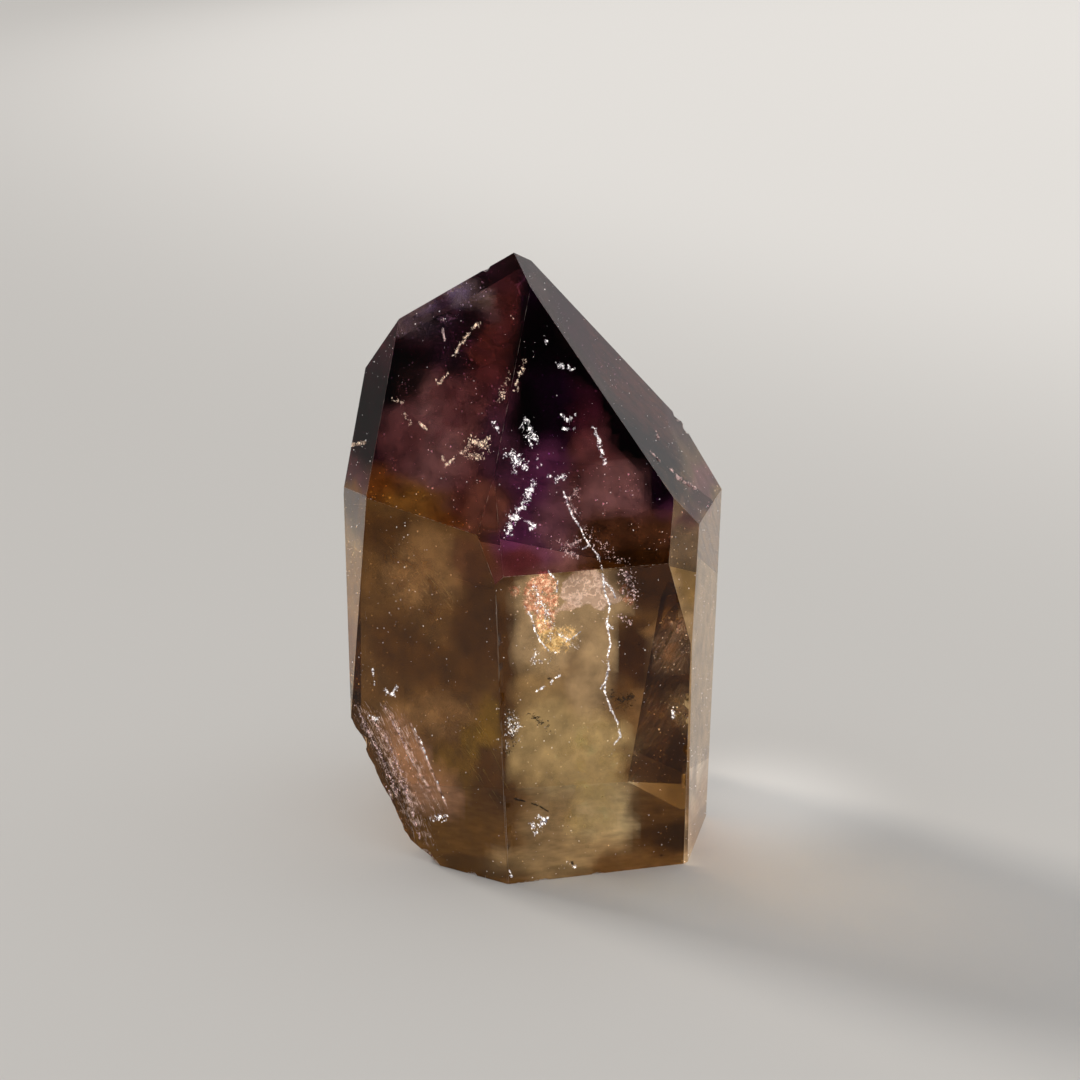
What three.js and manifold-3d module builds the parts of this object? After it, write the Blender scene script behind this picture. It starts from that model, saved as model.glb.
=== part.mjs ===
// Cacoxenite quartz point
//
// A single crystal of smoky amethyst quartz with cacoxenite inside, ground and polished on a lap
// into a free-standing point. It grew as one piece and is cut from one piece, so it is one solid.
// The stone stands on a sawn foot. Its flat facets are laid on one after another, as a lapidary
// grinds them: each is a plane at a bearing round the stone, a tilt and a reach from its axis.
// Low on the left one slanting side was never polished. It keeps the grown ledges of the crystal.
//
// Units are millimetres, +Z is up, and the viewer's side is -Y. The origin is the middle of the foot.

import * as THREE from 'three';
import { mergeVertices } from 'three/addons/utils/BufferGeometryUtils.js';
import Module from 'manifold-3d';

const wasm = await Module();
wasm.setup();

// ---------------------------------------------------------------- driving dimensions

const BLANK = { width: 90, depth: 90, height: 96 }; // rough block that the point is ground from
const LAP = 500; // side of the block that one facet grinds away, far larger than the stone

// bearing: compass angle of the facet's face in degrees, 0 towards -Y and 90 towards +X
// tilt: how far the face looks up (+) or down (-) from level, in degrees
// reach: distance of the facet from the middle of the foot, in mm
const PRISM_SIDES = [
  { bearing: -72.5, tilt: 4.5, reach: 31.7 }, // left, a narrow strip
  { bearing: -32, tilt: 1.5, reach: 24.9 }, // front left
  { bearing: 15, tilt: 3.5, reach: 24.9 }, // front right
  { bearing: 77, tilt: 0.5, reach: 27 }, // right
  { bearing: 120, tilt: -8.6, reach: 22.5 }, // back right, undercut
  { bearing: -174, tilt: 1, reach: 26.7 }, // back
  { bearing: -96.5, tilt: -5, reach: 24.8 }, // back left, undercut
];

const POINT_FACETS = [
  { bearing: -74.5, tilt: 16, reach: 41.6 }, // left
  { bearing: -29, tilt: 23, reach: 42.6 }, // front left, the largest in front
  { bearing: 15, tilt: 17, reach: 34.9 }, // front right
  { bearing: 78, tilt: 35, reach: 51.2 }, // right
  { bearing: 119.5, tilt: 45, reach: 62.2 }, // back right
  { bearing: 124.5, tilt: 16.5, reach: 43 }, // back right shoulder
  { bearing: 180, tilt: 24, reach: 38.3 }, // back, reaching lowest
  { bearing: -145, tilt: 51.5, reach: 69.1 }, // back left
  { bearing: -113.5, tilt: 0.5, reach: 28.1 }, // back left shoulder
];

const BEVELS = [
  { bearing: 4, tilt: 16.5, reach: 36.1 }, // foot of the ridge between the two front facets
  { bearing: 44, tilt: 10.5, reach: 34.5 }, // front right shoulder, running out down the edge
  { bearing: 46, tilt: 2, reach: 30 }, // front right edge
  { bearing: -8, tilt: 2.7, reach: 27.1 }, // front edge
];

const LOWER_CHIP = { bearing: -73, tilt: -50.5, reach: 12.5 }; // break at the foot of the rough side

// the unpolished side, low on the left, that leans out over the foot
const ROUGH_SIDE = { bearing: -96, tilt: -29.5, reach: 13.7 }; // reach of its highest ledges
const ROUGH_GRAIN = 16; // degrees between the ledges and the slope's own fall line
const ROUGH_PATCH = { width: 56, height: 46, sideways: -1, upslope: 19 }; // covers the whole side
const ROUGH_STEP = { across: 0.45, along: 1.1 }; // mesh steps across and along the ledges
const LEDGES = [
  { spacing: 4.1, height: 0.5, drift: 0.035, seed: 3 }, // broad growth steps
  { spacing: 1.7, height: 0.35, drift: 0.06, seed: 11 }, // ledges on them
  { spacing: 0.9, height: 0.15, drift: -0.08, seed: 29 }, // fine ribs
];
const PIT = { spacing: 3.2, depth: 0.35, seed: 47 }; // small hollows between the ledges

// scoops broken out of the sharp edges: centre, and radii along X, Y and Z
const EDGE_NICKS = [
  { at: [22.9, 13.6, 62.5], radii: [1.3, 2.6, 1.5] }, // right shoulder
  { at: [24.2, 12.8, 60.2], radii: [0.9, 1.5, 1.1] }, // below it
  { at: [-7.5, -6.0, 89.3], radii: [1.0, 0.9, 0.9] }, // left slope near the tip
  { at: [-9.9, -23.7, -0.3], radii: [1.6, 0.8, 0.8] }, // front foot
  { at: [1.6, -25.7, -0.3], radii: [1.2, 0.7, 0.6] }, // foot by the front edge
  { at: [10.2, -23.6, -0.3], radii: [2.0, 0.7, 0.7] }, // foot, front right
  { at: [-26.6, -12.8, 16.9], radii: [1.0, 1.0, 1.5] }, // rim of the rough side, high
  { at: [-22.5, -15.7, 9.2], radii: [0.9, 0.9, 1.3] }, // rim of the rough side, low
  { at: [-17.2, -19.3, 1.2], radii: [1.8, 1.0, 1.0] }, // shell-shaped lip at the lower chip
];
const NICK_DETAIL = 2; // subdivisions of the ball that scoops a nick
const NICK_ROUGHNESS = 0.12; // how uneven the scooped surface is, as a share of its radius

const QUARTZ = { color: 0x6b5230, roughness: 0.08, metalness: 0 }; // smoky brown, polished

// ---------------------------------------------------------------- helpers

const { degToRad, clamp } = THREE.MathUtils;

// A closed three.js geometry as a solid, with its shared corners merged.
function toSolid(geometry) {
  const bare = geometry.clone();
  bare.deleteAttribute('normal');
  bare.deleteAttribute('uv');
  const merged = mergeVertices(bare, 1e-5);
  return new wasm.Manifold(new wasm.Mesh({
    numProp: 3,
    vertProperties: new Float32Array(merged.attributes.position.array),
    triVerts: new Uint32Array(merged.index.array),
  }));
}

// A solid as a three.js geometry.
function toGeometry(solid) {
  const mesh = solid.getMesh();
  const geometry = new THREE.BufferGeometry();
  geometry.setAttribute('position', new THREE.BufferAttribute(mesh.vertProperties, 3));
  geometry.setIndex(new THREE.BufferAttribute(mesh.triVerts, 1));
  geometry.computeVertexNormals();
  return geometry;
}

// Turns a block that faces the stone across the plane y = -reach to its facet's tilt and bearing.
function aim(geometry, facet) {
  geometry.rotateX(-degToRad(facet.tilt));
  geometry.rotateZ(degToRad(facet.bearing));
  return geometry;
}

// The block of stone that lies outside one flat facet.
function groundAway(facet) {
  const block = new THREE.BoxGeometry(LAP, LAP, LAP);
  block.translate(0, -(facet.reach + LAP / 2), 0);
  return toSolid(aim(block, facet));
}

// A repeatable number from 0 to 1 for a whole number.
function chance(index, seed) {
  const wave = Math.sin(index * 127.1 + seed * 311.7) * 43758.5453;
  return wave - Math.floor(wave);
}

// Height of one set of ledges at a place on the rough side: each ledge is a slanting tread that
// rises over most of its width and then drops in a short riser.
function ledgeHeight(across, along, { spacing, height, drift, seed }) {
  const wander = Math.sin(along * 0.31 + seed) * 0.22 + Math.sin(along * 0.83 + seed * 2) * 0.1;
  const place = across / spacing + along * drift + wander;
  const index = Math.floor(place);
  const tread = place - index;
  const riserShare = 0.25;
  const rise = tread < 1 - riserShare ? tread / (1 - riserShare) : (1 - tread) / riserShare;
  return height * rise * (0.35 + 0.65 * chance(index, seed));
}

// Depth of the small hollows at a place on the rough side.
function pitDepth(across, along) {
  const column = Math.round(across / PIT.spacing);
  const row = Math.round(along / PIT.spacing);
  const pick = chance(column * 17 + row, PIT.seed);
  const radius = PIT.spacing * (0.25 + 0.25 * pick);
  const distance = Math.hypot(across - column * PIT.spacing, along - row * PIT.spacing);
  return pick > 0.45 ? PIT.depth * clamp(1 - distance / radius, 0, 1) : 0;
}

// The block outside the rough side. Its face towards the stone carries the ledges and pits, so
// they are left standing on the stone in reverse.
function brokenAway(side) {
  const { width, height, sideways, upslope } = ROUGH_PATCH;
  const columns = Math.round(width / ROUGH_STEP.across);
  const rows = Math.round(height / ROUGH_STEP.along);
  const block = new THREE.BoxGeometry(width, width, height, columns, 1, rows);
  block.translate(0, -width / 2, 0);
  const position = block.attributes.position;
  for (let i = 0; i < position.count; i += 1) {
    const x = position.getX(i);
    const z = position.getZ(i);
    if (position.getY(i) === 0) {
      const relief = LEDGES.reduce((sum, set) => sum + ledgeHeight(x, z, set), 0) + pitDepth(x, z);
      position.setY(i, relief);
    }
  }
  block.rotateY(degToRad(ROUGH_GRAIN));
  block.translate(sideways, -side.reach, upslope);
  return toSolid(aim(block, side));
}

// The uneven ball that scoops a nick out of an edge.
function scoop({ at, radii }, index) {
  const ball = new THREE.IcosahedronGeometry(1, NICK_DETAIL);
  const position = ball.attributes.position;
  const corner = new THREE.Vector3();
  for (let i = 0; i < position.count; i += 1) {
    corner.fromBufferAttribute(position, i);
    const ripple = Math.sin(corner.x * 5 + index) * Math.sin(corner.y * 7 - index) * Math.cos(corner.z * 6);
    corner.multiplyScalar(1 + NICK_ROUGHNESS * ripple);
    position.setXYZ(i, corner.x, corner.y, corner.z);
  }
  ball.scale(...radii);
  ball.translate(...at);
  return toSolid(ball);
}

// ---------------------------------------------------------------- the stone

function quartzPoint() {
  const block = new THREE.BoxGeometry(BLANK.width, BLANK.depth, BLANK.height);
  block.translate(0, 0, BLANK.height / 2);
  let stone = toSolid(block);
  for (const facet of [...PRISM_SIDES, ...POINT_FACETS, ...BEVELS, LOWER_CHIP]) {
    stone = stone.subtract(groundAway(facet));
  }
  stone = stone.subtract(brokenAway(ROUGH_SIDE));
  EDGE_NICKS.forEach((nick, index) => {
    stone = stone.subtract(scoop(nick, index));
  });

  const geometry = toGeometry(stone);
  geometry.computeBoundingBox();
  const middle = geometry.boundingBox.getCenter(new THREE.Vector3());
  geometry.translate(-middle.x, -middle.y, -geometry.boundingBox.min.z);

  const mesh = new THREE.Mesh(geometry, new THREE.MeshStandardMaterial(QUARTZ));
  mesh.name = 'quartz_point';
  return mesh;
}

const point = new THREE.Group();
point.name = 'cacoxenite_quartz_point';
point.add(quartzPoint());

export default point;
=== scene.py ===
# %% [markdown]
# # A polished point of cacoxenite quartz
# This notebook dresses one polished quartz crystal: purple at the tip, olive brown below, with
# orange cacoxenite, a fracture and many pale flecks inside it. The solid comes from the CAD frame.
# Blender adds what a solid can't say: how light passes through the stone, and what lies in it.

# %% Load the frame
import math
import random

import bmesh
import bpy
import numpy
from mathutils import Euler, Matrix, Vector, noise
from mathutils.bvhtree import BVHTree


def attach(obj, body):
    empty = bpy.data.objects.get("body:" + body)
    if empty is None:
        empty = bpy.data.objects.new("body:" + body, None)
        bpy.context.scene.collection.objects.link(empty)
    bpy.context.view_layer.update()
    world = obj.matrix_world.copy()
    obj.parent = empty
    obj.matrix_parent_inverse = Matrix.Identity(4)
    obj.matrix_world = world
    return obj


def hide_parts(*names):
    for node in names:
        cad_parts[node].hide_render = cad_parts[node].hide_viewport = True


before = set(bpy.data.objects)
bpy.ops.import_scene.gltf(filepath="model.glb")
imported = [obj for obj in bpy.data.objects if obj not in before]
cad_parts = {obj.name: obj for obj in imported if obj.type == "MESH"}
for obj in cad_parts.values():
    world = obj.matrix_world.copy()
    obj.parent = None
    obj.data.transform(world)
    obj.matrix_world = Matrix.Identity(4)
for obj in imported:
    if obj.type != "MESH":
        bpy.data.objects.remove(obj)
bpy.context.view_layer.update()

MM = 0.001  # every size below is in millimetres and is multiplied by this
noise.seed_set(7)  # unseeded, this noise would change with every run

# %% [markdown]
# ## Small helpers
# Colours are written as sRGB hex, as a paint chart gives them, but a shader works on linear light,
# so one function converts them. Another adds a node to a tree. It takes plain values for sockets,
# or another node, which it links. That keeps a node tree as short as a recipe. The last two start
# a material and put an object into the scene.

# %% Helpers: colour, node, material and object
scene = bpy.context.scene


def linear(code):
    """The linear RGBA of an sRGB hex code."""
    channels = [int(code[i:i + 2], 16) / 255 for i in (0, 2, 4)]
    return (*[c / 12.92 if c <= 0.04045 else ((c + 0.055) / 1.055) ** 2.4 for c in channels], 1.0)


def add(tree, kind, sockets=None, **settings):
    """A new node with its settings made. Each socket takes a value, an output or a node."""
    node = tree.nodes.new(kind)
    for name, value in settings.items():
        setattr(node, name, value)
    for name, value in (sockets or {}).items():
        if isinstance(value, bpy.types.Node):
            value = value.outputs[0]
        if isinstance(value, bpy.types.NodeSocket):
            tree.links.new(value, node.inputs[name])
        else:
            node.inputs[name].default_value = value
    return node


def new_material(name):
    """An empty material, and its tree."""
    material = bpy.data.materials.new(name)
    material.use_nodes = True
    material.node_tree.nodes.clear()
    return material, material.node_tree


def in_scene(name, data):
    """A new object in the scene that shows a mesh, a lamp or a camera."""
    thing = bpy.data.objects.new(name, data)
    scene.collection.objects.link(thing)
    return thing


print("khaki in linear light:", [round(c, 3) for c in linear("968250")])

# %% [markdown]
# ## The camera
# The stone is looked at from a little above, with a long lens, so its upright edges stay almost
# parallel. A wide lens close by would make the tip lean away. The rotation is about X alone, which
# keeps the horizon level.

# %% Camera
CAMERA_PLACE = Vector((0.8, -340.5, 149.4)) * MM
CAMERA_DOWN = math.radians(17)
LENS = 76.67
SENSOR = 36.0

camera_data = bpy.data.cameras.new("camera")
camera_data.lens = LENS
camera_data.sensor_width = SENSOR
camera_data.clip_start = 0.01
camera = in_scene("camera", camera_data)
camera.location = CAMERA_PLACE
camera.rotation_euler = (math.pi / 2 - CAMERA_DOWN, 0, 0)
scene.camera = camera
print("field of view:", round(math.degrees(2 * math.atan(SENSOR / 2 / LENS)), 1), "degrees")

# %% [markdown]
# ## The floor
# A clear stone shows what is around it more than it shows itself, so the room is chosen first. The
# floor is a pale matt sheet. The left facets would mirror it beside the stone and turn pale, so a
# studio lays a black flag there. Here the floor turns dark on that side for mirrored rays alone,
# and no flag is ever in the frame.

# %% Floor
FLOOR_SIDE = 24.0
FLOOR_DROP = 0.05 * MM  # keeps the foot and the floor from sharing one plane
FLAG_FROM, FLAG_TO = -0.12, -0.3  # metres in X between which the flag sets in
FLAG_DEPTH = 0.85  # share of the light that it takes away

half = FLOOR_SIDE / 2
square = ((-half, -half), (half, -half), (half, half), (-half, half))
floor_mesh = bpy.data.meshes.new("floor")
floor_mesh.from_pydata([(x, y, -FLOOR_DROP) for x, y in square], [], [(0, 1, 2, 3)])
floor = in_scene("floor", floor_mesh)

paper, tree = new_material("matt_paper")  # uncoated card: even, no shine
ground_place = add(tree, "ShaderNodeTexCoord").outputs["Object"]
flagged = add(tree, "ShaderNodeMapRange", {
    "Value": add(tree, "ShaderNodeSeparateXYZ", {0: ground_place}).outputs["X"],
    "From Min": FLAG_FROM, "From Max": FLAG_TO, "To Max": FLAG_DEPTH,
}, interpolation_type="SMOOTHSTEP")
mirrored = add(tree, "ShaderNodeLightPath").outputs["Is Glossy Ray"]
shade = add(tree, "ShaderNodeMath", {0: flagged, 1: mirrored}, operation="MULTIPLY")
paper_colour = add(tree, "ShaderNodeMix", {0: shade, 6: linear("CFCCC8"), 7: linear("100E10")},
                   data_type="RGBA").outputs[2]
shader = add(tree, "ShaderNodeBsdfPrincipled",
             {"Base Color": paper_colour, "Roughness": 0.9, "Specular IOR Level": 0.0})
add(tree, "ShaderNodeOutputMaterial", {"Surface": shader})
floor_mesh.materials.append(paper)
print("floor:", FLOOR_SIDE, "m wide")

# %% [markdown]
# ## The light
# A low, broad sun from the back left throws the soft shadow to the right. A soft lamp far above the
# back right brightens the floor behind the stone. A small lamp stands for the light that the stone
# gathers like a lens and throws beside its foot, because tracing that through glass is slow and
# grainy. The sky is bright behind the stone and dark behind the camera: the side that faces us then
# mirrors darkness, and its colour shows. Equal light all round would wash the stone out.

# %% Lamps
def aimed(name, kind, place, target, **settings):
    """A lamp at a place in metres, turned towards a target."""
    data = bpy.data.lights.new(name, kind)
    for key, value in settings.items():
        setattr(data, key, value)
    lamp = in_scene(name, data)
    lamp.location = place
    lamp.rotation_euler = (Vector(target) - Vector(place)).to_track_quat("-Z", "Y").to_euler()
    return lamp


low_sun = aimed("low_sun", "SUN", (-0.80, 0.60, 0.66), (0, 0, 0.04), energy=1.85,
                angle=math.radians(12), color=(1.0, 0.985, 0.965))
low_sun.visible_transmission = False  # its disc would else flare inside the stone
aimed("back_right_glow", "SPOT", (1.3, 1.45, 3.2), (1.3, 1.41, 0), energy=178,
      spot_size=math.radians(57), spot_blend=0.2, shadow_soft_size=0.15)
gathered = aimed("light_gathered_by_the_stone", "SPOT", (0.07, 0.015, 0.25), (0.034, 0.004, 0),
                 energy=0.85, spot_size=math.radians(11), spot_blend=1.0, shadow_soft_size=0.01)
gathered.visible_glossy = gathered.visible_transmission = False

# %% Sky
SKY = [(-0.6, 0.04), (-0.25, 0.1), (0.1, 0.32), (0.6, 0.42)]  # how far back, and how bright
WARMTH = (1, 0.992, 0.98)  # red, green and blue of the sky, as shares of its brightness
OVERHEAD = 0.62  # brightness added straight above
OVERHEAD_FROM, OVERHEAD_TO = 0.5, 0.85  # upward part of a direction between which it sets in
BOUNCES = 24  # light that enters the stone is mirrored many times before it leaves

world = bpy.data.worlds.new("studio")
scene.world = world
world.use_nodes = True
tree = world.node_tree
tree.nodes.clear()
direction = add(tree, "ShaderNodeTexCoord").outputs["Generated"]
parts = add(tree, "ShaderNodeSeparateXYZ", {0: direction}).outputs
back = add(tree, "ShaderNodeMapRange", {"Value": parts["Y"], "From Min": -1.0, "From Max": 1.0})
ramp = add(tree, "ShaderNodeValToRGB", {0: back})
ramp.color_ramp.interpolation = "EASE"
while len(ramp.color_ramp.elements) < len(SKY):
    ramp.color_ramp.elements.new(0.5)
for stop, (share, brightness) in zip(ramp.color_ramp.elements, SKY):
    stop.position = (share + 1) / 2
    stop.color = (*[brightness * part for part in WARMTH], 1)
above = add(tree, "ShaderNodeMapRange", {
    "Value": parts["Z"], "From Min": OVERHEAD_FROM, "From Max": OVERHEAD_TO, "To Max": OVERHEAD,
}, interpolation_type="SMOOTHSTEP")
both = add(tree, "ShaderNodeVectorMath", {0: ramp, 1: above}, operation="ADD")
light = add(tree, "ShaderNodeBackground", {"Color": both, "Strength": 1.0})
add(tree, "ShaderNodeOutputWorld", {"Surface": light})

scene.view_settings.view_transform = "Standard"
scene.cycles.max_bounces = scene.cycles.transmission_bounces = BOUNCES
scene.cycles.glossy_bounces = BOUNCES // 2
scene.cycles.transparent_max_bounces = 32
print("sky:", len(SKY), "stops,", BOUNCES, "bounces")

# %% [markdown]
# ## The stone's surface
# The CAD mesh is loose triangles. A copy is merged, and triangles that lie in one plane are joined
# into whole facets. That tells polished facets, which are large, from the ledges of the rough
# flank, which are small. A lap never leaves a perfectly sharp edge, so the edges between polished
# facets get a bevel of a tenth of a millimetre. It is what draws the thin bright lines along them.
# A Bevel modifier would also cut the ledges, so the edges are picked here by rule.
#
# Four numbers are stored on each face for the material: whether it belongs to the crown, whether
# it lies behind or underneath, whether it was left rough, and whether it is the ground foot. At
# last the flat facets are cut by planes a brush dab apart, because the colour of the stone will be
# painted on their corners. That doesn't change their shape.

# %% Stone mesh: whole facets and bevels
MERGE = 0.5e-3 * MM  # corners closer than this are one
FLAT = math.radians(0.3)  # triangles closer to one plane than this are one facet
LARGE_FACET = 4.0 * MM ** 2
BEVEL_WIDTH = 0.11 * MM
BEVEL_FROM = math.radians(4)
FOOT_TURN = -0.99  # upward part of the foot's normal
CHIP_DROP = -0.6  # downward part of the normal below which a side face is the broken chip

stone_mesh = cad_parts["quartz_point"].data.copy()
stone_mesh.name = "quartz_crystal"
bm = bmesh.new()
bm.from_mesh(stone_mesh)
bmesh.ops.remove_doubles(bm, verts=bm.verts, dist=MERGE)
bmesh.ops.dissolve_limit(bm, angle_limit=FLAT, verts=bm.verts, edges=bm.edges)


def is_polished(face):
    return face.calc_area() > LARGE_FACET and not (CHIP_DROP > face.normal.z > FOOT_TURN)


polished_edges = [
    edge for edge in bm.edges
    if edge.is_manifold and all(is_polished(face) for face in edge.link_faces)
    and edge.calc_face_angle() > BEVEL_FROM
]
bmesh.ops.bevel(bm, geom=polished_edges, offset=BEVEL_WIDTH, segments=2, profile=0.5,
                affect="EDGES", clamp_overlap=True)
print("stone:", len(bm.faces), "faces,", len(polished_edges), "bevelled edges")

# %% Stone mesh: marks on the faces, and corners for the paint
CROWN_RISE = 0.15  # upward part of the normal from which a facet belongs to the crown
BACK_TURN = -0.05  # part of the normal along Y from which a facet counts as behind
PAINT_STEP = 1.2 * MM  # distance between the cuts that give the paint its corners


def triangulate(bm):
    """Cuts all faces into triangles and sorts them, because their order differs in every run."""
    bmesh.ops.triangulate(bm, faces=bm.faces)
    bm.verts.index_update()
    count = len(bm.verts)
    bm.faces.sort(key=lambda face: sum(
        vert * count ** power for power, vert in enumerate(sorted(v.index for v in face.verts))))


crown, behind, rough, foot = [bm.faces.layers.float.new(name)
                              for name in ("crown", "behind", "rough", "foot")]
polished_ends = {vert for face in bm.faces if is_polished(face) for vert in face.verts}
for face in bm.faces:
    bevelled = all(vert in polished_ends for vert in face.verts)
    face[crown] = float(face.normal.z > CROWN_RISE)
    face[behind] = float(face.normal.y > BACK_TURN or face.normal.z < FOOT_TURN)
    face[rough] = float(not (is_polished(face) or bevelled))
    face[foot] = float(face.normal.z < FOOT_TURN)
triangulate(bm)
surface = BVHTree.FromBMesh(bm)
for axis in (Vector((1, 0, 0)), Vector((0, 1, 0)), Vector((0, 0, 1))):
    along = [vert.co.dot(axis) for vert in bm.verts]
    for step in range(1, int((max(along) - min(along)) / PAINT_STEP) + 1):
        smooth_faces = [face for face in bm.faces if not face[rough]]
        # a dict keeps each part once and in order, where the order of a set changes with every run
        cut = dict.fromkeys(part for face in smooth_faces
                            for part in (face, *face.edges, *face.verts))
        level = min(along) + step * PAINT_STEP
        bmesh.ops.bisect_plane(bm, geom=list(cut), dist=1e-7, plane_co=axis * level, plane_no=axis)
triangulate(bm)
open_edges = sum(not edge.is_manifold for edge in bm.edges)
print("stone:", len(bm.faces), "triangles,", open_edges, "open edges")
bm.to_mesh(stone_mesh)
bm.free()
stone_mesh.materials.clear()
stone = in_scene("quartz_crystal", stone_mesh)

# %% [markdown]
# ## Finding a place inside the stone
# What lies in a clear stone isn't where it seems to be, because light bends at the surface. To put
# a fleck where it is seen, a ray is sent from the camera through a point of the frame and bent at
# the facet it meets by Snell's law. The fleck then goes a chosen depth along the bent ray. Depths
# are cut short of the far side, so nothing can poke out of the stone. The other way would be to
# place everything by its X, Y and Z and correct it by eye, and that takes far longer.

# %% Helper: a place inside the stone
FRAME = 1080  # the frame is 1080 by 1080 points, counted from its top left
QUARTZ_IOR = 1.55
CAMERA_TURN = Euler((math.pi / 2 - CAMERA_DOWN, 0, 0)).to_matrix()
NEAR_FAR_SIDE = 0.85  # share of the way to the far side that a depth may reach
SKIN = 0.02  # mm that a ray starts beneath a facet, so that it doesn't meet it again


def seen(u, v, depth=0.0):
    """The place seen at a frame point, depth mm beneath the facet. None beside the stone."""
    across = (u - FRAME / 2) / FRAME * SENSOR / LENS
    down = (v - FRAME / 2) / FRAME * SENSOR / LENS
    ray = (CAMERA_TURN @ Vector((across, -down, -1))).normalized()
    hit, normal, _, _ = surface.ray_cast(CAMERA_PLACE, ray)
    if hit is None:
        return None
    bend = 1 / QUARTZ_IOR
    facing = -ray.dot(normal)
    inner = math.sqrt(1 - bend ** 2 * (1 - facing ** 2))
    ray = (bend * ray + (bend * facing - inner) * normal).normalized()
    _, _, _, room = surface.ray_cast(hit + ray * (SKIN * MM), ray)
    return hit + ray * min(depth * MM, (room or 0.0) * NEAR_FAR_SIDE)


print("tip region:", [round(c / MM, 1) for c in seen(516, 262)])

# %% [markdown]
# ## Where the light comes from
# Light that reaches the eye through a front facet entered the stone somewhere else: through the
# back, or through the foot after a mirror bounce inside. Following the bent ray until it leaves
# finds that place. The darkest colour clouds are painted there too.

# %% Helper: the far end of a line of sight
MOST_BOUNCES = 6


def far_end(u, v):
    """The place where the line of sight at a frame point leaves the stone again."""
    place = seen(u, v)
    below = seen(u, v, 0.5)
    ray = (below - place).normalized()
    for _ in range(MOST_BOUNCES):
        hit, normal, _, _ = surface.ray_cast(place + ray * SKIN * MM, ray)
        if hit is None:
            return place
        place = hit
        leaning = ray.dot(normal)
        if QUARTZ_IOR ** 2 * (1 - leaning ** 2) < 1:
            return place
        ray = (ray - 2 * leaning * normal).normalized()
    return place


print("seen at mid crown, light enters at:", [round(c / MM) for c in far_end(450, 400)])

# %% [markdown]
# ## Colour clouds
# The stone is smoky citrine below and amethyst above, and neither is even: the colour hangs in
# soft clouds. A clear material takes its tint each time light crosses the surface, so each cloud
# is laid on the facet that it is seen through, and flecks behind it stay bright. The two darkest
# colours also shade the place where their light entered. Each cloud is a soft ball in the stone's
# own coordinates, whose edge is ruffled by noise. A volume with clouds in it would be truer, but
# it renders slowly and an exported model would lose it. A hundred clouds as shader nodes overflow
# what a shader can hold, and the stone turns black. So they are painted into a colour attribute on
# the corners of the mesh.

# %% Palette and clouds
PALETTE = {  # what each cloud does to white light that crosses it once
    "black": "0E0009", "black violet": "260429", "deep plum": "45122F", "plum": "6C4068",
    "violet": "924C92", "maroon": "82404B", "rose": "9C606E", "mauve": "DEA6B8", "fog": "D2C8E6",
    "amber": "B8702C", "honey": "D89E48", "brown": "84573C", "dark umber": "56330F",
    "umber": "704C20", "tan brown": "90693A", "pale brown": "C09A6C", "olive": "A68636",
    "khaki": "D8BE90", "straw": "FAE8B8", "sand": "F4DFBE", "shade": "8C8078",
    "terracotta": "C88478", "bronze": "8A6428", "silk": "E2B496",
}

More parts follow.
